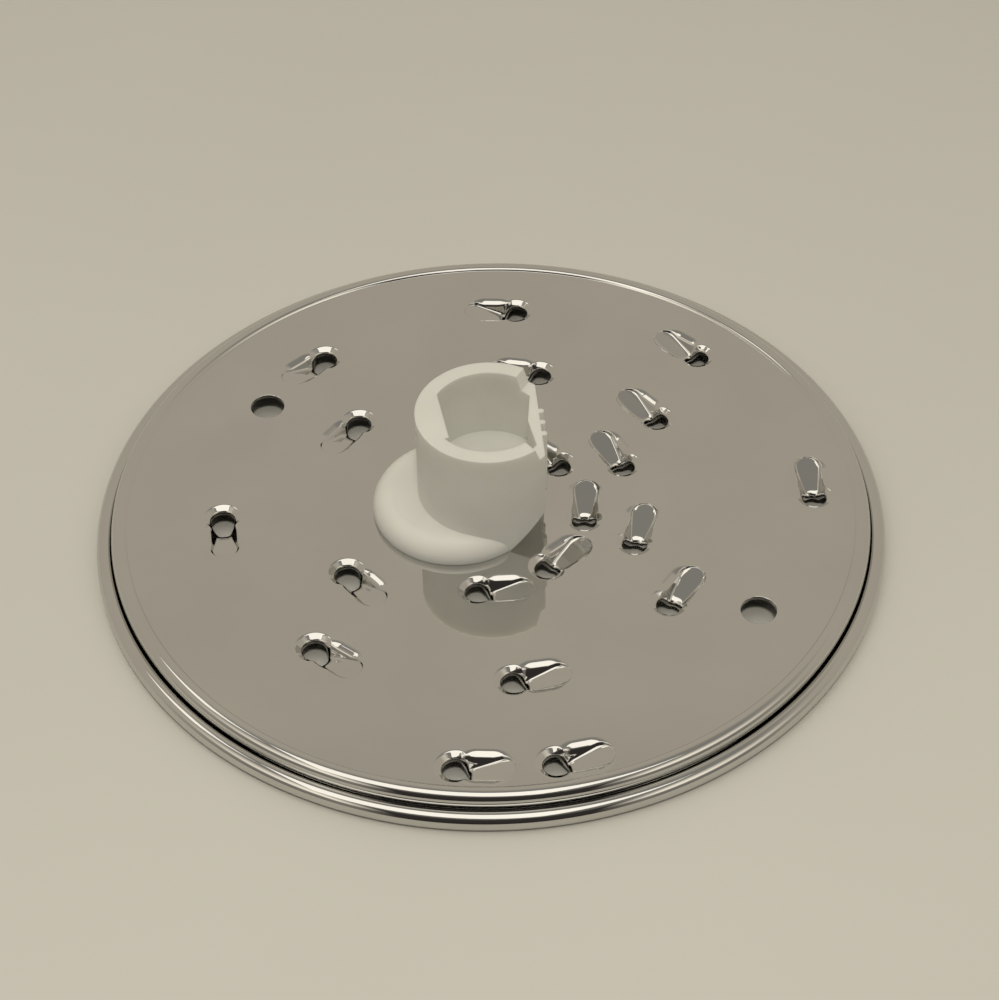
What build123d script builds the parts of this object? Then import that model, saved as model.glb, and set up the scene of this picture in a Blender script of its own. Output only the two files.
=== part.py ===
"""Grating disc of a food processor: a pressed steel disc with a moulded drive hub."""
import os
from math import atan, cos, degrees, radians, sin, tan

from build123d import *

# Steel sheet and its rim, from the flat plate outwards
sheet = 0.8
plate_top = 6.6
crease_radius = 82.6
step_rise = 0.6
step_run = 1.1
shoulder_radius = 2.0
wall_radius = 85.8
bead_radius = 2.2
bead_turn = 290

# One grating tooth, measured along its own axis from its middle, tail end positive
hole_radius = 2.8
hole_offset = -4.0
dish_radius = 4.2
dish_depth = 0.9
trough_start = 0.2
trough_half_width = 3.1
trough_slope = 24
trough_end = 8.2
tail_end = 8.4
tail_depth = 0.12
ramp_angle = 15.5
shoulder_half_width = 4.75
shoulder_depth = 0.7
shoulder_run = 2.15
shoulder_foot_end = 8.0
tooth_length = 17.5
tooth_width = 9.7

# Middle of each tooth: distance from the axis, then bearing in degrees
tooth_places = [
    (77.0, 267.0),
    (77.0, 282.5),
    (73.5, 3.5),
    (70.0, 47.5),
    (67.0, 87.5),
    (64.0, 131.5),
    (60.5, 187.0),
    (57.5, 232.5),
    (53.5, 279.0),
    (50.0, 325.0),
    (47.5, 39.5),
    (45.0, 79.5),
    (41.0, 143.5),
    (38.0, 219.5),
    (34.5, 344.0),
    (32.5, 28.0),
    (29.5, 100.0),
    (27.0, 272.0),
    (23.5, 311.0),
    (21.5, 355.5),
    (19.5, 49.0),
]

# Two plain round holes for lifting the disc out
lift_hole_radius = 3.9
lift_hole_places = [(-52.3, 33.6), (57.9, -34.7)]

# Drive hub
cup_radius = 16.2
cup_height = 28.0
socket_radius = 12.7
socket_depth = 17.6
socket_left_flat = 9.95
socket_left_bearing = 191
socket_left_end = 6.35
socket_right_ridge = 8.7
socket_right_slope = 8.2
side_bearing = 4.3
side_flat = 11.4
side_drop = 3.5
side_drop_span = 56
side_drop_slope = 20
rib_height = 1.15
rib_width = 1.3
rib_places = [2.9, -0.75, -4.4]
flange_radius = 18.8
flange_centre = (-7.7, -0.9)
flange_height = 5.3
flange_round = 4.4
undercut_start = 4.2
undercut_angle = 43
core_radius = 4.0
cap_radius = 13.0
cap_height = 1.8
cap_round = 1.0

# Worked out from the sizes above
sheet_bottom = plate_top - sheet
sheet_middle = plate_top - sheet / 2
step_angle = 2 * degrees(atan(step_rise / step_run))
step_radius = step_run / (2 * sin(radians(step_angle)))
shoulder_middle = shoulder_radius - sheet / 2
bead_middle = bead_radius - sheet / 2
wall_middle = wall_radius - sheet / 2
reach = 2 * cup_radius
drop_spread = reach * tan(radians(side_drop_span))
ridge_spread = reach * tan(radians(socket_right_slope))


def slot_between(start, end, half_width):
    """A round-ended slot along the tooth's axis, from one outer end to the other."""
    with Locations(((start + end) / 2, 0)):
        SlotOverall(end - start, 2 * half_width)


def tooth_pressing(drop, widening):
    """Trough and soft shoulder of one tooth as a solid, lowered by drop, its trough widened by widening."""
    half_width = trough_half_width + widening
    inner_half_width = shoulder_half_width - shoulder_run
    top = plate_top - drop
    ramp = tan(radians(ramp_angle))
    before = trough_start - shoulder_half_width - sheet
    beyond = tail_end + 2 * sheet
    with BuildPart() as pressing:
        with BuildSketch(Plane.XY.offset(top)):
            slot_between(trough_start - shoulder_half_width, tail_end, shoulder_half_width)
        with BuildSketch(Plane.XY.offset(top - shoulder_depth)):
            slot_between(trough_start - inner_half_width, shoulder_foot_end, inner_half_width)
        loft(ruled=True)
        with BuildSketch(Plane.XY.offset(plate_top)):
            slot_between(trough_start - half_width, trough_end + widening, half_width)
        extrude(amount=-half_width, taper=trough_slope)
        with BuildSketch(Plane.XZ):
            with BuildLine():
                Polyline(
                    (before, plate_top + sheet),
                    (before, top - tail_depth - ramp * (tail_end - before)),
                    (beyond, top - tail_depth - ramp * (tail_end - beyond)),
                    (beyond, plate_top + sheet),
                    close=True,
                )
            make_face()
        extrude(amount=shoulder_half_width + sheet, both=True, mode=Mode.INTERSECT)
    return pressing.part


def dish(drop):
    """The shallow cone pressed around the hole of one tooth, lowered by drop."""
    slope = (dish_radius - hole_radius) / dish_depth
    depth = dish_depth + sheet / 2
    with BuildPart() as cone:
        with Locations((hole_offset, 0, plate_top - drop)):
            Cone(
                dish_radius - slope * depth,
                dish_radius,
                depth,
                align=(Align.CENTER, Align.CENTER, Align.MAX),
            )
    return cone.part


# One tooth pressed into its own patch of sheet: a hole with a dished lip and a ramped trough
wall_widening = sheet / cos(radians(trough_slope))
with BuildPart() as tooth:
    add(tooth_pressing(sheet, wall_widening))
    add(dish(sheet))
    with BuildSketch(Plane.XY.offset(plate_top)) as patch:
        SlotOverall(tooth_length, tooth_width)
    extrude(amount=-plate_top, mode=Mode.INTERSECT)
    extrude(patch.sketch, amount=-sheet)
    add(tooth_pressing(0, 0), mode=Mode.SUBTRACT)
    add(dish(0), mode=Mode.SUBTRACT)
    with Locations((hole_offset, 0, 0)):
        Cylinder(hole_radius, 4 * plate_top, mode=Mode.SUBTRACT)


# Steel disc with its rolled rim
tooth_locations = [
    Location(
        (radius * cos(radians(bearing)), radius * sin(radians(bearing)), 0),
        (0, 0, bearing + 90),
    )
    for radius, bearing in tooth_places
]
with BuildPart() as grating_disc:
    with BuildSketch(Plane.XZ):
        with BuildLine():
            plate_line = Line((0, sheet_middle), (crease_radius - step_run / 2, sheet_middle))
            step_up = JernArc(plate_line @ 1, plate_line % 1, step_radius, step_angle)
            step_over = JernArc(step_up @ 1, step_up % 1, step_radius, -step_angle)
            ledge = Line(step_over @ 1, (wall_middle - shoulder_middle, sheet_middle + step_rise))
            shoulder = JernArc(ledge @ 1, ledge % 1, shoulder_middle, -90)
            wall = Line(shoulder @ 1, (wall_middle, bead_radius))
            bead = JernArc(wall @ 1, wall % 1, bead_middle, bead_turn)
            offset(amount=sheet / 2, side=Side.BOTH)
        make_face()
        Rectangle(2 * core_radius, 4 * plate_top, mode=Mode.SUBTRACT)
    revolve(axis=Axis.Z)

    with BuildSketch(Plane.XY.offset(plate_top)):
        with Locations(*tooth_locations):
            SlotOverall(tooth_length, tooth_width)
        with Locations(*lift_hole_places):
            Circle(lift_hole_radius)
    extrude(amount=-sheet, mode=Mode.SUBTRACT)
    with Locations(*tooth_locations):
        add(tooth.part)
grating_disc.part.label = "grating_disc"


# Moulded hub: eccentric flange, cup with a keyed socket, a lowered ribbed side and a cap below
side_plane = Plane.XY.rotated((0, 0, side_bearing))
with BuildPart() as hub:
    with BuildSketch(Plane.XY.offset(plate_top)):
        with Locations(flange_centre):
            Circle(flange_radius)
    extrude(amount=flange_height)
    fillet(hub.edges().group_by(Axis.Z)[-1], flange_round)
    with BuildSketch(Plane.XY.offset(plate_top)):
        Circle(cup_radius)
    extrude(amount=cup_height)

    with BuildSketch(side_plane.offset(plate_top)):
        with Locations((side_flat, 0)):
            Rectangle(reach, 2 * reach, align=(Align.MIN, Align.CENTER))
        with Locations(*[(side_flat, place) for place in rib_places]):
            SlotOverall(2 * rib_height, rib_width, mode=Mode.SUBTRACT)
    extrude(amount=cup_height, mode=Mode.SUBTRACT)
    with BuildSketch(side_plane.offset(plate_top + cup_height)):
        Polygon((0, 0), (reach, -drop_spread), (reach, drop_spread), align=None)
    extrude(amount=-side_drop, taper=side_drop_slope, mode=Mode.SUBTRACT)

    with BuildSketch(Plane.XY.offset(plate_top + cup_height)):
        Circle(socket_radius)
        with Locations(Location((0, 0), socket_left_bearing)):
            with Locations((socket_left_flat, socket_left_end)):
                Rectangle(reach, 2 * reach, align=(Align.MIN, Align.MAX), mode=Mode.SUBTRACT)
        with Locations(Location((0, 0), side_bearing)):
            with Locations((socket_right_ridge, 0)):
                Polygon(
                    (0, 0),
                    (ridge_spread, -reach),
                    (ridge_spread, reach),
                    align=None,
                    mode=Mode.SUBTRACT,
                )
    extrude(amount=-socket_depth, mode=Mode.SUBTRACT)

    with BuildSketch(Plane.XZ):
        with BuildLine():
            Polyline(
                (undercut_start, plate_top),
                (reach, plate_top),
                (reach, plate_top + (reach - undercut_start) * tan(radians(undercut_angle))),
                close=True,
            )
        make_face()
    extrude(amount=reach, both=True, mode=Mode.SUBTRACT)

    with BuildSketch(Plane.XY.offset(plate_top)):
        Circle(core_radius)
    extrude(amount=-sheet)
    with BuildSketch(Plane.XY.offset(sheet_bottom)):
        Circle(cap_radius)
    extrude(amount=-cap_height)
    fillet(hub.edges().group_by(Axis.Z)[0], cap_round)
hub.part.label = "hub"

os.makedirs("parts", exist_ok=True)
export_step(grating_disc.part, "parts/grating_disc.step")
export_step(hub.part, "parts/hub.step")
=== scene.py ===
"""Dresses the grating disc: smooth pressed steel, moulded hub, studio floor, light and camera."""
from math import atan, cos, degrees, hypot, pi, radians, sin, sqrt

import bmesh
import bpy
from mathutils import Matrix, Vector
from mathutils.geometry import delaunay_2d_cdt


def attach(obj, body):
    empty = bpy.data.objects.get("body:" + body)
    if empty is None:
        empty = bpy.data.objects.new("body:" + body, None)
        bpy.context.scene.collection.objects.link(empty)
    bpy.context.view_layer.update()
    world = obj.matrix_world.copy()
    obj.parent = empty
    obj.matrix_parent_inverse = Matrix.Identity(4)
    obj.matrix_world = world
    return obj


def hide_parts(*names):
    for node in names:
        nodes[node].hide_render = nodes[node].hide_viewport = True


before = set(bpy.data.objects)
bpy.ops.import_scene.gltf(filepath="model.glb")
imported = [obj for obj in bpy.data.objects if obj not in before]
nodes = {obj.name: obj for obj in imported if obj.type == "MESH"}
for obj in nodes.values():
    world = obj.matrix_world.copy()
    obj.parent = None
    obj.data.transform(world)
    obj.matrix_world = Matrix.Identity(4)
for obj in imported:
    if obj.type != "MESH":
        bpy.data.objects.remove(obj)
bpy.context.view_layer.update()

MM = 0.001

# Steel sheet and rim, in millimetres and degrees
SHEET = 0.8
PLATE_TOP = 6.6
PLATE_BOTTOM = PLATE_TOP - SHEET
PLATE_EDGE = 81.98
CREASE_RADIUS = 82.6
STEP_RISE = 0.6
STEP_RUN = 1.1
SHOULDER_RADIUS = 2.0
SHOULDER_TURN = -90
WALL_RADIUS = 85.8
BEAD_RADIUS = 2.185
BEAD_TURN = 290
CORE_RADIUS = 4.0

# One grating tooth, along its own axis from its middle, tail end positive
HOLE_RADIUS = 2.8
HOLE_OFFSET = -4.0
TROUGH_START = -0.6
TROUGH_END = 5.2
TROUGH_HALF_WIDTH = 3.3
WALL_LEAN = 0.64
WALL_ROUND = 0.34
RAMP_END = 8.9
RAMP_SLOPE = 0.282
PRESSED_SHOULDER_START = 0.4
PRESSED_SHOULDER_END = 3.9
PRESSED_SHOULDER_REACH = 4.25
PRESSED_SHOULDER_RUN = 1.5
PRESSED_SHOULDER_DEPTH = 0.7
PRESSED_SHOULDER_ROUND = 0.6
COLLAR_RADIUS = 4.2
COLLAR_SLOPE = 0.643
COLLAR_ROUND = 0.15
COLLAR_NARROWING = 1.0
COLLAR_FADE_START = 1.0
COLLAR_FADE_RUN = 2.0
EDGE_ROUND = 0.22
LIP_WIDTH = 1.4
LIP_DEPTH = 0.62
PATCH_LENGTH = 17.5
PATCH_WIDTH = 9.7
PATCH_REACH = PATCH_LENGTH / 2 - PATCH_WIDTH / 2

# Limits on the shoulders and roundings as shares of the trough's depth, and the least rounding
SHOULDER_SHARE = 0.5
WALL_ROUND_SHARE = 0.22
FLOOR_ROUND_SHARE = 0.22
LEAST_ROUND = 0.01

# Middle of each tooth: distance from the axis, then bearing in degrees
TOOTH_PLACES = [
    (77.0, 267.0),
    (77.0, 282.5),
    (73.5, 3.5),
    (70.0, 47.5),
    (67.0, 87.5),
    (64.0, 131.5),
    (60.5, 187.0),
    (57.5, 232.5),
    (53.5, 279.0),
    (50.0, 325.0),
    (47.5, 39.5),
    (45.0, 79.5),
    (41.0, 143.5),
    (38.0, 219.5),
    (34.5, 344.0),
    (32.5, 28.0),
    (29.5, 100.0),
    (27.0, 272.0),
    (23.5, 311.0),
    (21.5, 355.5),
    (19.5, 49.0),
]

# Two plain round holes with rounded upper edges
LIFT_HOLE_RADIUS = 3.9
LIFT_EDGE_RADIUS = LIFT_HOLE_RADIUS + EDGE_ROUND
LIFT_HOLES = [(-52.3, 33.6), (57.9, -34.7)]

# Fineness of the rim's mesh
RIM_SEGMENTS = 220
CREASE_STEPS = 4
SHOULDER_STEPS = 10
WALL_STEPS = 2
BEAD_STEPS = 24
BEAD_END_TURNS = (60, 30, 0, -30, -60)

# Fineness of a tooth's mesh: columns round its patch, rings along a column and the bands they fill
LIP_STEPS = 32
HOLE_STEPS = 12
AXIS_STEPS = 18
SIDE_STEPS = HOLE_STEPS + AXIS_STEPS
TAIL_STEPS = 20
EDGE_RINGS = 5
INNER_RINGS = 3
WALL_RINGS = 12
OUTER_RINGS = 5
LOWER_RINGS = 5
WALL_BAND = 1.85
WALL_MARGIN = 0.25
OUTER_BAND = 1.45
OUTER_MARGIN = 0.1
LEAST_OUTER_BAND = 0.05
FULL_COLUMN = 4

# Fineness of the plate's mesh
CORE_SEGMENTS = 48
LIFT_HOLE_SEGMENTS = 72
LIFT_EDGE_STEPS = 5

# Tolerances of the disc's mesh, decimals kept in welding, and the angle of a sharp edge
MERGE_DISTANCE = 1e-7
ON_HOLE_TOLERANCE = 1e-6
WELD_DIGITS = 4
SHARP_ANGLE = 50

# Stops of the colour ramps that the noise textures feed
STEEL_TINT = [(0.3, (0.60, 0.595, 0.575)), (0.7, (0.63, 0.625, 0.605))]
STEEL_HAZE = [(0.35, (0.02, 0.02, 0.02)), (0.75, (0.045, 0.045, 0.045))]
PLASTIC_TINT = [(0.3, (0.66, 0.66, 0.62)), (0.7, (0.70, 0.70, 0.66))]
PLASTIC_GLOSS = [(0.3, (0.42, 0.42, 0.42)), (0.7, (0.52, 0.52, 0.52))]
TABLE_TINT = [(0.3, (0.58, 0.57, 0.53)), (0.7, (0.60, 0.59, 0.55))]

# Half the width of the table, in metres
TABLE_HALF = 3.0

# Colours of the room from the horizon up: beyond the disc, beside the camera and behind it
FAR_ROOM = [
    (0.0, (0.50, 0.455, 0.38)),
    (0.76, (0.52, 0.472, 0.39)),
    (0.88, (0.30, 0.285, 0.255)),
    (0.98, (0.30, 0.285, 0.255)),
]
SIDE_ROOM = [
    (0.0, (0.24, 0.22, 0.19)),
    (0.42, (0.26, 0.24, 0.205)),
    (0.58, (1.40, 1.29, 1.09)),
    (0.82, (1.15, 1.07, 0.93)),
    (0.98, (0.34, 0.32, 0.28)),
]
NEAR_ROOM = [
    (0.0, (0.035, 0.03, 0.028)),
    (0.7, (0.045, 0.04, 0.036)),
    (0.86, (0.25, 0.235, 0.21)),
    (0.98, (0.30, 0.285, 0.255)),
]

# Limits between which two rooms mix, by the sideways and then the forward part of a direction
NEAR_TO_SIDE = (0.38, 0.55)
NEAR_TO_FAR = (-0.45, 0.05)

# Camera, as fitted to the photograph's 999 by 1000 frame
IMAGE_WIDTH = 999
FOCAL_PIXELS = 2486.6
CAMERA_DISTANCE = 564.45
CAMERA_ELEVATION = 44.70
CAMERA_ROLL = -1.066
CAMERA_TARGET = (2.11, 0.66, PLATE_TOP)


def clamp(value, low, high):
    """A value kept between two limits."""
    return min(max(value, low), high)


def smooth_min(a, b, size):
    """The lesser of two heights, rounded where they are within size of each other."""
    blend = max(size - abs(a - b), 0.0) / size
    return min(a, b) - blend * blend * size / 4


def smooth_max(a, b, size):
    """The greater of two heights, rounded in the same way."""
    return -smooth_min(-a, -b, size)


def ramp_depth(x):
    """Depth of the trough's sloping floor, which runs out toward the tail."""
    return max(RAMP_SLOPE * (RAMP_END - x), 0.0)


def trough_depth(x, y, widening):
    """Depth of a trough: its floor, its steep walls and the soft shoulders beside them."""
    floor = ramp_depth(x)
    slope = min(PRESSED_SHOULDER_DEPTH, SHOULDER_SHARE * floor) / PRESSED_SHOULDER_RUN
    shoulder_x = clamp(x, PRESSED_SHOULDER_START, PRESSED_SHOULDER_END)
    shoulder_in = PRESSED_SHOULDER_REACH - hypot(x - shoulder_x, y)
    shoulder = slope * smooth_max(shoulder_in, 0.0, PRESSED_SHOULDER_ROUND)
    trough_x = clamp(x, TROUGH_START, TROUGH_END)
    wall = (TROUGH_HALF_WIDTH + widening - hypot(x - trough_x, y)) / WALL_LEAN
    sides = smooth_max(shoulder, wall, min(WALL_ROUND, WALL_ROUND_SHARE * floor + LEAST_ROUND))
    return max(smooth_min(floor, sides, FLOOR_ROUND_SHARE * floor + LEAST_ROUND), 0.0)


def collar_depth(x, y, widening):
    """Depth of the cone round a tooth's hole, which narrows toward the trough."""
    fade = clamp((x - HOLE_OFFSET - COLLAR_FADE_START) / COLLAR_FADE_RUN, 0.0, 1.0)
    radius = COLLAR_RADIUS + widening / 2 - COLLAR_NARROWING * fade * fade * (3 - 2 * fade)
    return smooth_max(COLLAR_SLOPE * (radius - hypot(x - HOLE_OFFSET, y)), 0.0, COLLAR_ROUND)


def pressed_depth(x, y, thickness):
    """Depth below the plate's top of the pressing's upper face, or of the face a thickness under it."""
    widening = thickness / 2
    return thickness + trough_depth(x, y, widening) + collar_depth(x, y, widening)


def edge_drop(from_edge, width, depth):
    """Drop of a rounded edge at a distance from it, for an edge rounded over a width and a depth."""
    inset = 1 - clamp(from_edge / width, 0.0, 1.0)
    return depth * (1 - sqrt(1 - inset * inset))


def lip_rounding(inner):
    """Width and depth of the hole's rounded upper edge at a point of it: wider toward the trough."""
    toward_trough = clamp((inner[0] - HOLE_OFFSET) / HOLE_RADIUS, 0.0, 1.0)
    width = EDGE_ROUND + (LIP_WIDTH - EDGE_ROUND) * toward_trough
    depth = EDGE_ROUND + (LIP_DEPTH - EDGE_ROUND) * toward_trough
    return width, depth


def side_inner(step):
    """Inner end of a side column: round the hole first, then along the trough's axis."""
    if step <= HOLE_STEPS:
        turn = radians(90 - 90 * step / HOLE_STEPS)
        return HOLE_OFFSET + HOLE_RADIUS * cos(turn), HOLE_RADIUS * sin(turn)
    start = HOLE_OFFSET + HOLE_RADIUS
    return start + (PATCH_REACH - start) * (step - HOLE_STEPS) / AXIS_STEPS, 0.0


def tooth_grid():
    """Columns of (inner point, outer point) round one patch, in order, in the tooth's own plane."""
    half_width = PATCH_WIDTH / 2
    columns = []
    for step in range(LIP_STEPS):
        turn = radians(270 - 180 * step / LIP_STEPS)
        inner = (HOLE_OFFSET + HOLE_RADIUS * cos(turn), HOLE_RADIUS * sin(turn))
        outer = (-PATCH_REACH + half_width * cos(turn), half_width * sin(turn))
        columns.append((inner, outer))
    for step in range(SIDE_STEPS):
        outer = (-PATCH_REACH + 2 * PATCH_REACH * step / SIDE_STEPS, half_width)
        columns.append((side_inner(step), outer))
    for step in range(TAIL_STEPS):
        turn = radians(90 - 180 * step / TAIL_STEPS)
        outer = (PATCH_REACH + half_width * cos(turn), half_width * sin(turn))
        columns.append(((PATCH_REACH, 0.0), outer))
    for step in range(SIDE_STEPS, 0, -1):
        x, y = side_inner(step)
        outer = (-PATCH_REACH + 2 * PATCH_REACH * step / SIDE_STEPS, -half_width)
        columns.append(((x, -y), outer))
    return columns


def ring_shares(outer, length, rounding):
    """Shares of a column from its inner end, close together at a hole's edge and across a wall."""
    trough_x = clamp(outer[0], TROUGH_START, TROUGH_END)
    from_axis = hypot(outer[0] - trough_x, outer[1])
    beyond_wall = from_axis - TROUGH_HALF_WIDTH
    wall_x = trough_x + (outer[0] - trough_x) * TROUGH_HALF_WIDTH / from_axis
    wall_run = WALL_LEAN * ramp_depth(wall_x)
    scale = min(1.0, (length - rounding) / FULL_COLUMN)
    wall_band = min(wall_run + WALL_MARGIN, WALL_BAND * scale)
    outer_band = min(OUTER_BAND * scale, max(beyond_wall - OUTER_MARGIN, LEAST_OUTER_BAND))
    inner_band = length - rounding - wall_band - outer_band
    reached = [rounding * (ring / EDGE_RINGS) ** 2 for ring in range(EDGE_RINGS + 1)]
    bands = ((inner_band, INNER_RINGS), (wall_band, WALL_RINGS), (outer_band, OUTER_RINGS))
    for band, rings in bands:
        start = reached[-1]
        reached += [start + band * (ring + 1) / rings for ring in range(rings)]
    return [distance / length for distance in reached]


def points_along(inner, outer, shares):
    """Points at the given shares of a column, from its inner end."""
    return [
        (inner[0] + (outer[0] - inner[0]) * share, inner[1] + (outer[1] - inner[1]) * share)
        for share in shares
    ]


def upper_column(inner, outer):
    """Points of a tooth's upper face down one column, each with its depth below the plate's top."""
    length = hypot(outer[0] - inner[0], outer[1] - inner[1])
    lip = lip_rounding(inner)
    shares = ring_shares(outer, length, lip[0])[:-1]
    column = []
    for x, y in points_along(inner, outer, shares):
        from_edge = hypot(x - HOLE_OFFSET, y) - HOLE_RADIUS
        column.append((x, y, pressed_depth(x, y, 0.0) + edge_drop(from_edge, *lip)))
    return column + [(*outer, 0.0)]


def lower_column(inner, outer):
    """Points of a tooth's lower face down one column, in the same form."""
    shares = [ring / LOWER_RINGS for ring in range(LOWER_RINGS)]
    column = [(x, y, pressed_depth(x, y, SHEET)) for x, y in points_along(inner, outer, shares)]
    return column + [(*outer, SHEET)]


def place_tooth(radius, bearing, point):
    """A point of a tooth's own plane, set on the plate."""
    turn = radians(bearing)
    x, y = point
    return (
        radius * cos(turn) - x * sin(turn) - y * cos(turn),
        radius * sin(turn) + x * cos(turn) - y * sin(turn),
    )


def place_column(radius, bearing, column):
    """A column of a tooth, set on the plate."""
    return [(*place_tooth(radius, bearing, (x, y)), PLATE_TOP - depth) for x, y, depth in column]


def rim_track():
    """Middle of the rim's sheet from the plate's edge round the bead: radius, height and heading."""
    step_turn = 2 * degrees(atan(STEP_RISE / STEP_RUN))
    step_radius = STEP_RUN / (2 * sin(radians(step_turn)))
    shoulder = SHOULDER_RADIUS - SHEET / 2
    bead = BEAD_RADIUS - SHEET / 2
    wall = WALL_RADIUS - SHEET / 2
    middle = PLATE_TOP - SHEET / 2
    crease_start = CREASE_RADIUS - STEP_RUN / 2
    ledge = wall - shoulder - crease_start - STEP_RUN
    drop = middle + STEP_RISE - shoulder - BEAD_RADIUS
    moves = [
        (crease_start - PLATE_EDGE, 0, 1),
        (step_radius, step_turn, CREASE_STEPS),
        (step_radius, -step_turn, CREASE_STEPS),
        (ledge, 0, 1),
        (shoulder, SHOULDER_TURN, SHOULDER_STEPS),
        (drop, 0, WALL_STEPS),
        (bead, BEAD_TURN, BEAD_STEPS),
    ]
    x, z, heading = PLATE_EDGE, middle, 0.0
    track = [(x, z, heading)]
    for size, turn, steps in moves:
        for _ in range(steps):
            swing = radians(turn) / steps
            chord = 2 * size * sin(abs(swing) / 2) if turn else size / steps
            x += chord * cos(heading + swing / 2)
            z += chord * sin(heading + swing / 2)
            heading += swing
            track.append((x, z, heading))
    return track


def rim_section():
    """Outline of the rim's sheet from the plate's top edge round the bead to its lower edge."""
    track = rim_track()
    half = SHEET / 2
    upper = [(x - half * sin(h), z + half * cos(h)) for x, z, h in track]
    lower = [(x + half * sin(h), z - half * cos(h)) for x, z, h in track]
    end_x, end_z, end_heading = track[-1]
    turns = [end_heading + radians(turn) for turn in BEAD_END_TURNS]
    end = [(end_x + half * cos(turn), end_z + half * sin(turn)) for turn in turns]
    return upper + end + lower[::-1]


class Welder:
    """Collects faces whose corners may repeat, and welds equal corners."""

    def __init__(self):
        self.index = {}
        self.points = []
        self.faces = []
        self.flat = []

    def corner(self, x, y, z):
        """Number of a corner, in millimetres, kept once."""
        key = (round(x, WELD_DIGITS), round(y, WELD_DIGITS), round(z, WELD_DIGITS))
        if key not in self.index:
            self.index[key] = len(self.points)
            self.points.append((x * MM, y * MM, z * MM))
        return self.index[key]

    def face(self, *corners, flat=False):
        """Adds a face, unless its corners fall together."""
        ring = []
        for corner in corners:
            number = self.corner(*corner)
            if number not in ring:
                ring.append(number)
        if len(ring) > 2:
            self.faces.append(ring)
            self.flat.append(flat)


def ring_points(radius, segments, centre=(0.0, 0.0)):
    """Points of a circle in the plate's plane."""
    turns = [2 * pi * segment / segments for segment in range(segments)]
    return [(centre[0] + radius * cos(turn), centre[1] + radius * sin(turn)) for turn in turns]


def add_rim(mesh):
    """The rim, turned round the axis."""
    section = rim_section()
    for segment in range(RIM_SEGMENTS):
        here = 2 * pi * segment / RIM_SEGMENTS
        there = 2 * pi * ((segment + 1) % RIM_SEGMENTS) / RIM_SEGMENTS
        for (r0, z0), (r1, z1) in zip(section, section[1:]):
            mesh.face(
                (r0 * cos(here), r0 * sin(here), z0),
                (r1 * cos(here), r1 * sin(here), z1),
                (r1 * cos(there), r1 * sin(there), z1),
                (r0 * cos(there), r0 * sin(there), z0),
            )


def on_hole(point):
    """Whether a point of a tooth's plane lies on the edge of its hole."""
    return abs(hypot(point[0] - HOLE_OFFSET, point[1]) - HOLE_RADIUS) < ON_HOLE_TOLERANCE


def add_tooth(mesh, radius, bearing, columns):
    """Upper face, lower face and hole wall of one tooth."""
    upper = [place_column(radius, bearing, upper_column(*ends)) for ends in columns]
    lower = [place_column(radius, bearing, lower_column(*ends)) for ends in columns]
    for grid, flip in ((upper, False), (lower, True)):
        for line, following in zip(grid, grid[1:] + grid[:1]):
            for ring in range(len(line) - 1):
                corners = [line[ring], line[ring + 1], following[ring + 1], following[ring]]
                mesh.face(*(corners[::-1] if flip else corners))
    for index, (inner, _) in enumerate(columns):
        following = (index + 1) % len(columns)
        after = columns[following][0]
        if on_hole(inner) and on_hole(after) and inner != after:
            mesh.face(upper[index][0], upper[following][0], lower[following][0], lower[index][0])


def inside_patch(x, y):
    """Whether a point of the plate falls in a tooth's patch."""
    for radius, bearing in TOOTH_PLACES:
        turn = radians(bearing)
        dx = x - radius * cos(turn)
        dy = y - radius * sin(turn)
        along = -dx * sin(turn) + dy * cos(turn)
        across = -dx * cos(turn) - dy * sin(turn)
        if hypot(along - clamp(along, -PATCH_REACH, PATCH_REACH), across) < PATCH_WIDTH / 2:
            return True
    return False


def on_flat(x, y):
    """Whether a point lies on the flat of the plate, clear of the rim, the holes and the teeth."""
    if not CORE_RADIUS < hypot(x, y) < PLATE_EDGE:
        return False
    if any(hypot(x - hx, y - hy) < LIFT_EDGE_RADIUS for hx, hy in LIFT_HOLES):
        return False
    return not inside_patch(x, y)


def plate_loops(columns):
    """Outlines in the plate: its edge, the core's hole, the lift holes and the teeth's patches."""
    loops = [ring_points(PLATE_EDGE, RIM_SEGMENTS), ring_points(CORE_RADIUS, CORE_SEGMENTS)]
    for centre in LIFT_HOLES:
        loops.append(ring_points(LIFT_EDGE_RADIUS, LIFT_HOLE_SEGMENTS, centre))
    for radius, bearing in TOOTH_PLACES:
        loops.append([place_tooth(radius, bearing, outer) for _, outer in columns])
    return loops


def add_plate(mesh, columns):
    """Both faces of the flat of the plate between the rim, the teeth and the holes."""
    points = []
    edges = []
    for loop in plate_loops(columns):
        first = len(points)
        points.extend(loop)
        edges.extend((first + i, first + (i + 1) % len(loop)) for i in range(len(loop)))
    flat_points = [Vector(point) for point in points]
    _, _, triangles, sources = delaunay_2d_cdt(flat_points, edges, [], 0, MERGE_DISTANCE)[:4]
    for triangle in triangles:
        ring = [points[sources[i][0]] for i in triangle]
        x = sum(corner[0] for corner in ring) / 3
        y = sum(corner[1] for corner in ring) / 3
        if on_flat(x, y):
            mesh.face(*[(*corner, PLATE_TOP) for corner in ring], flat=True)
            mesh.face(*[(*corner, PLATE_BOTTOM) for corner in ring[::-1]], flat=True)


def add_hole(mesh, section, segments, centre):
    """The wall of a round hole, turned from its section."""
    for (r0, z0), (r1, z1) in zip(section, section[1:]):
        upper = ring_points(r0, segments, centre)
        lower = ring_points(r1, segments, centre)
        for here in range(segments):
            there = (here + 1) % segments
            mesh.face((*upper[here], z0), (*upper[there], z0), (*lower[there], z1), (*lower[here], z1))


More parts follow.
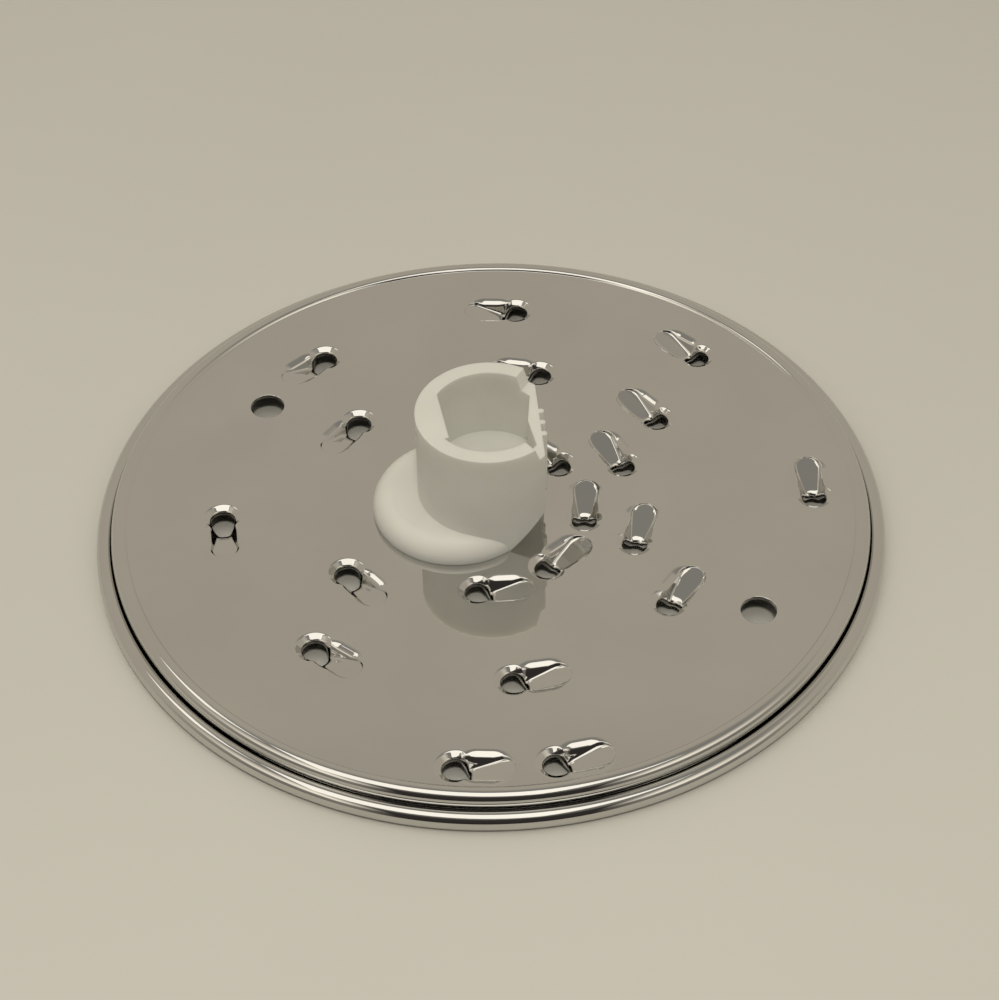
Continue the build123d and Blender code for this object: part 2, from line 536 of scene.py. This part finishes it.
def add_plain_holes(mesh):
    """The walls of the core's hole and of the two lift holes."""
    core_section = [(CORE_RADIUS, PLATE_TOP), (CORE_RADIUS, PLATE_BOTTOM)]
    add_hole(mesh, core_section, CORE_SEGMENTS, (0.0, 0.0))
    lift_section = []
    for step in range(LIFT_EDGE_STEPS + 1):
        turn = pi / 2 * step / LIFT_EDGE_STEPS
        drop = EDGE_ROUND * (1 - cos(turn))
        outset = EDGE_ROUND - EDGE_ROUND * sin(turn)
        lift_section.append((LIFT_HOLE_RADIUS + outset, PLATE_TOP - drop))
    lift_section += [(LIFT_HOLE_RADIUS, PLATE_BOTTOM), (LIFT_EDGE_RADIUS, PLATE_BOTTOM)]
    for centre in LIFT_HOLES:
        add_hole(mesh, lift_section, LIFT_HOLE_SEGMENTS, centre)


def build_disc():
    """The steel disc as one smooth mesh of the same form as its solid."""
    welder = Welder()
    columns = tooth_grid()
    add_rim(welder)
    add_plate(welder, columns)
    add_plain_holes(welder)
    for radius, bearing in TOOTH_PLACES:
        add_tooth(welder, radius, bearing, columns)
    data = bpy.data.meshes.new("steel_disc")
    data.from_pydata(welder.points, [], welder.faces)
    work = bmesh.new()
    work.from_mesh(data)
    bmesh.ops.recalc_face_normals(work, faces=work.faces[:])
    work.to_mesh(data)
    work.free()
    data.set_sharp_from_angle(angle=radians(SHARP_ANGLE))
    data.polygons.foreach_set("use_smooth", [not flat for flat in welder.flat])
    disc = bpy.data.objects.new("steel_disc", data)
    bpy.context.scene.collection.objects.link(disc)
    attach(disc, "root")
    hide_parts("grating_disc")
    return disc


def new_material(name):
    """A material with a bare Principled shader; returns it with its node tree and shader."""
    material = bpy.data.materials.new(name)
    material.use_nodes = True
    tree = material.node_tree
    return material, tree, tree.nodes["Principled BSDF"]


def noise(tree, scale, detail, stretch=(1, 1, 1)):
    """The factor of a noise texture in object space, stretched along the axes."""
    place = tree.nodes.new("ShaderNodeTexCoord")
    mapping = tree.nodes.new("ShaderNodeMapping")
    mapping.inputs["Scale"].default_value = stretch
    texture = tree.nodes.new("ShaderNodeTexNoise")
    texture.inputs["Scale"].default_value = scale
    texture.inputs["Detail"].default_value = detail
    tree.links.new(place.outputs["Object"], mapping.inputs["Vector"])
    tree.links.new(mapping.outputs["Vector"], texture.inputs["Vector"])
    return texture.outputs["Fac"]


def colour_ramp(tree, source, stops):
    """A colour ramp through the given stops, fed by a socket."""
    node = tree.nodes.new("ShaderNodeValToRGB")
    elements = node.color_ramp.elements
    for position, _ in stops[1:-1]:
        elements.new(position)
    for element, (position, colour) in zip(elements, stops):
        element.position = position
        element.color = (*colour, 1)
    tree.links.new(source, node.inputs["Fac"])
    return node.outputs["Color"]


def bump(tree, height, strength, distance):
    """A bump of the surface by a height; returns its node."""
    node = tree.nodes.new("ShaderNodeBump")
    node.inputs["Strength"].default_value = strength
    node.inputs["Distance"].default_value = distance
    tree.links.new(height, node.inputs["Height"])
    return node


def steel_material():
    """Polished stainless sheet with faint handling haze and hairline scratches."""
    material, tree, shader = new_material("polished_steel")
    shader.inputs["Metallic"].default_value = 1.0
    tint = colour_ramp(tree, noise(tree, scale=45, detail=4), STEEL_TINT)
    tree.links.new(tint, shader.inputs["Base Color"])
    haze = colour_ramp(tree, noise(tree, scale=120, detail=6), STEEL_HAZE)
    tree.links.new(haze, shader.inputs["Roughness"])
    hairline = noise(tree, scale=60, detail=3, stretch=(1, 30, 1))
    scratches = bump(tree, hairline, strength=0.02, distance=0.00005)
    tree.links.new(scratches.outputs["Normal"], shader.inputs["Normal"])
    return material


def plastic_material():
    """Off-white moulded plastic with a fine satin grain and softened edges."""
    material, tree, shader = new_material("hub_plastic")
    tint = colour_ramp(tree, noise(tree, scale=80, detail=5), PLASTIC_TINT)
    tree.links.new(tint, shader.inputs["Base Color"])
    gloss = colour_ramp(tree, noise(tree, scale=300, detail=4), PLASTIC_GLOSS)
    tree.links.new(gloss, shader.inputs["Roughness"])
    shader.inputs["Subsurface Weight"].default_value = 0.4
    shader.inputs["Subsurface Radius"].default_value = (1.0, 0.9, 0.7)
    shader.inputs["Subsurface Scale"].default_value = 0.005
    edge = tree.nodes.new("ShaderNodeBevel")
    edge.samples = 6
    edge.inputs["Radius"].default_value = 0.00035
    grain = bump(tree, noise(tree, scale=1800, detail=3), strength=0.06, distance=0.0001)
    tree.links.new(edge.outputs["Normal"], grain.inputs["Normal"])
    tree.links.new(grain.outputs["Normal"], shader.inputs["Normal"])
    return material


def table_material():
    """Plain pale table top."""
    material, tree, shader = new_material("pale_table")
    tint = colour_ramp(tree, noise(tree, scale=6, detail=3), TABLE_TINT)
    tree.links.new(tint, shader.inputs["Base Color"])
    shader.inputs["Roughness"].default_value = 0.6
    return material


def dress(obj, material):
    """Gives every slot of an object one material."""
    if not obj.data.materials:
        obj.data.materials.append(material)
    for slot in obj.material_slots:
        slot.material = material


def build_floor():
    """A wide flat table top under the disc."""
    half = TABLE_HALF
    corners = [(-half, -half, 0), (half, -half, 0), (half, half, 0), (-half, half, 0)]
    data = bpy.data.meshes.new("table")
    data.from_pydata(corners, [], [(0, 1, 2, 3)])
    table = bpy.data.objects.new("table", data)
    bpy.context.scene.collection.objects.link(table)
    dress(table, table_material())


def share_between(tree, value, low, high):
    """How far a value has gone from a low limit to a high one."""
    node = tree.nodes.new("ShaderNodeMapRange")
    node.inputs["From Min"].default_value = low
    node.inputs["From Max"].default_value = high
    tree.links.new(value, node.inputs["Value"])
    return node.outputs["Result"]


def mix(tree, share, first, second):
    """Two colours mixed by the second one's share."""
    node = tree.nodes.new("ShaderNodeMixRGB")
    tree.links.new(share, node.inputs["Fac"])
    tree.links.new(first, node.inputs["Color1"])
    tree.links.new(second, node.inputs["Color2"])
    return node.outputs["Color"]


def build_room():
    """A room for the steel to mirror: light beyond the disc and beside the camera, dark behind it."""
    world = bpy.data.worlds.new("studio")
    bpy.context.scene.world = world
    world.use_nodes = True
    tree = world.node_tree
    place = tree.nodes.new("ShaderNodeTexCoord")
    split = tree.nodes.new("ShaderNodeSeparateXYZ")
    tree.links.new(place.outputs["Generated"], split.inputs["Vector"])
    height = split.outputs["Z"]
    far_room, side_room, near_room = [
        colour_ramp(tree, height, colours) for colours in (FAR_ROOM, SIDE_ROOM, NEAR_ROOM)
    ]
    off_centre = tree.nodes.new("ShaderNodeMath")
    off_centre.operation = "ABSOLUTE"
    tree.links.new(split.outputs["X"], off_centre.inputs[0])
    beside = share_between(tree, off_centre.outputs["Value"], *NEAR_TO_SIDE)
    beyond = share_between(tree, split.outputs["Y"], *NEAR_TO_FAR)
    room = mix(tree, beyond, mix(tree, beside, near_room, side_room), far_room)
    tree.links.new(room, tree.nodes["Background"].inputs["Color"])


def area_light(name, place, size, power, colour, turn=0.0):
    """A soft oblong light that looks straight down, turned about the upright."""
    light = bpy.data.lights.new(name, "AREA")
    light.shape = "RECTANGLE"
    light.size, light.size_y = size
    light.energy = power
    light.color = colour
    obj = bpy.data.objects.new(name, light)
    obj.location = place
    obj.rotation_euler.z = radians(turn)
    bpy.context.scene.collection.objects.link(obj)
    return obj


def light_studio():
    """A lamp that shows in no mirror image, and two panels overhead that do."""
    lamp = area_light(
        "lamp",
        place=(0.03, -0.62, 1.12),
        size=(0.12, 0.12),
        power=5.5,
        colour=(1.0, 0.95, 0.84),
    )
    lamp.visible_glossy = False
    area_light(
        "panel",
        place=(-0.1, -0.195, 1.0),
        size=(0.85, 0.76),
        power=2.5,
        colour=(1.0, 0.95, 0.86),
        turn=-20,
    )
    area_light(
        "left_panel",
        place=(-0.62, 0.34, 1.0),
        size=(0.34, 0.32),
        power=0.36,
        colour=(1.0, 0.96, 0.88),
    )


def build_camera():
    """The camera at the photograph's angle."""
    elevation = radians(CAMERA_ELEVATION)
    roll = radians(CAMERA_ROLL)
    back = Vector((0, -cos(elevation), sin(elevation)))
    level_right = Vector((1, 0, 0))
    level_up = back.cross(level_right)
    right = cos(roll) * level_right + sin(roll) * level_up
    up = -sin(roll) * level_right + cos(roll) * level_up
    place = (Vector(CAMERA_TARGET) + CAMERA_DISTANCE * back) * MM
    data = bpy.data.cameras.new("camera")
    data.sensor_fit = "HORIZONTAL"
    data.lens = FOCAL_PIXELS * data.sensor_width / IMAGE_WIDTH
    camera = bpy.data.objects.new("camera", data)
    pose = Matrix((right, up, back)).transposed().to_4x4()
    pose.translation = place
    camera.matrix_world = pose
    bpy.context.scene.collection.objects.link(camera)
    bpy.context.scene.camera = camera


dress(build_disc(), steel_material())
dress(nodes["hub"], plastic_material())
build_floor()
build_room()
light_studio()
build_camera()
bpy.context.scene.view_settings.view_transform = "Standard"
